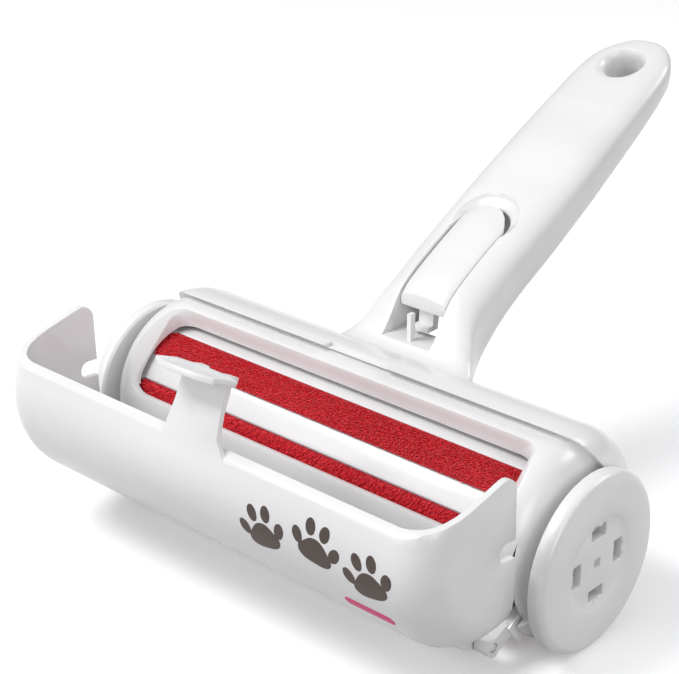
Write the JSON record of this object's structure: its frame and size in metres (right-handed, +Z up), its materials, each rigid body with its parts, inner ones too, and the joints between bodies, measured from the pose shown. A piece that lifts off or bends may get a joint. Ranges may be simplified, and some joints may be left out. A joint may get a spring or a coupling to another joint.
{
  "type": "lint roller",
  "caption": "Reusable lint roller: a rocking drum with red fabric strips in a white housing, with a hinged bin cover and a hollow-backed handle.",
  "frame": {"origin": "centre of the whole model's box, on the surface that the two end discs stand on", "axes": "+X along the drum to the end on the right of someone facing the open lid, +Y from the lid towards the handle, +Z up"},
  "size_m": [0.19, 0.2352, 0.1332],
  "materials": {
    "white_plastic": "satin moulded",
    "red_fabric": "short directional pile",
    "dark_grey_plastic": "gloss",
    "black_rubber": "matte",
    "steel": "bright wire"
  },
  "bodies": {
    "housing": {"housing_shell": "white_plastic", "lower_bezel": "white_plastic", "hinge_pin_left": "steel", "hinge_pin_right": "steel", "shaft_bush_left": "dark_grey_plastic", "shaft_bush_right": "dark_grey_plastic", "wiper_front": "black_rubber", "wiper_rear": "black_rubber", "button_pin": "steel", "button_spring": "steel"},
    "cover": {"lid": "white_plastic"},
    "drum": {"drum_core": "white_plastic", "end_disc_left": "white_plastic", "end_disc_right": "white_plastic", "lint_strip_under_front": "red_fabric", "lint_strip_under_rear": "red_fabric", "lint_strip_bin_front": "red_fabric", "lint_strip_bin_rear": "red_fabric", "divider_inlay_left": "dark_grey_plastic", "divider_inlay_right": "dark_grey_plastic"},
    "button": {"release_button": "white_plastic"}
  },
  "joints": [
    {"name": "lid_hinge", "type": "hinge", "parent": "housing", "child": "cover", "pos_m": [0, -0.07442, 0.009], "axis": [1, 0, 0], "range_deg": [-66, 0]},
    {"name": "drum_rock", "type": "hinge", "parent": "housing", "child": "drum", "pos_m": [0, -0.04342, 0.028], "axis": [1, 0, 0], "range_deg": [-32, 32]},
    {"name": "button_press", "type": "hinge", "parent": "housing", "child": "button", "pos_m": [0, 0.00758, 0.0755], "axis": [1, 0, 0], "range_deg": [-7, 0], "stiffness_Nm_per_rad": 0.06, "deforming": ["button_spring"]}
  ]
}
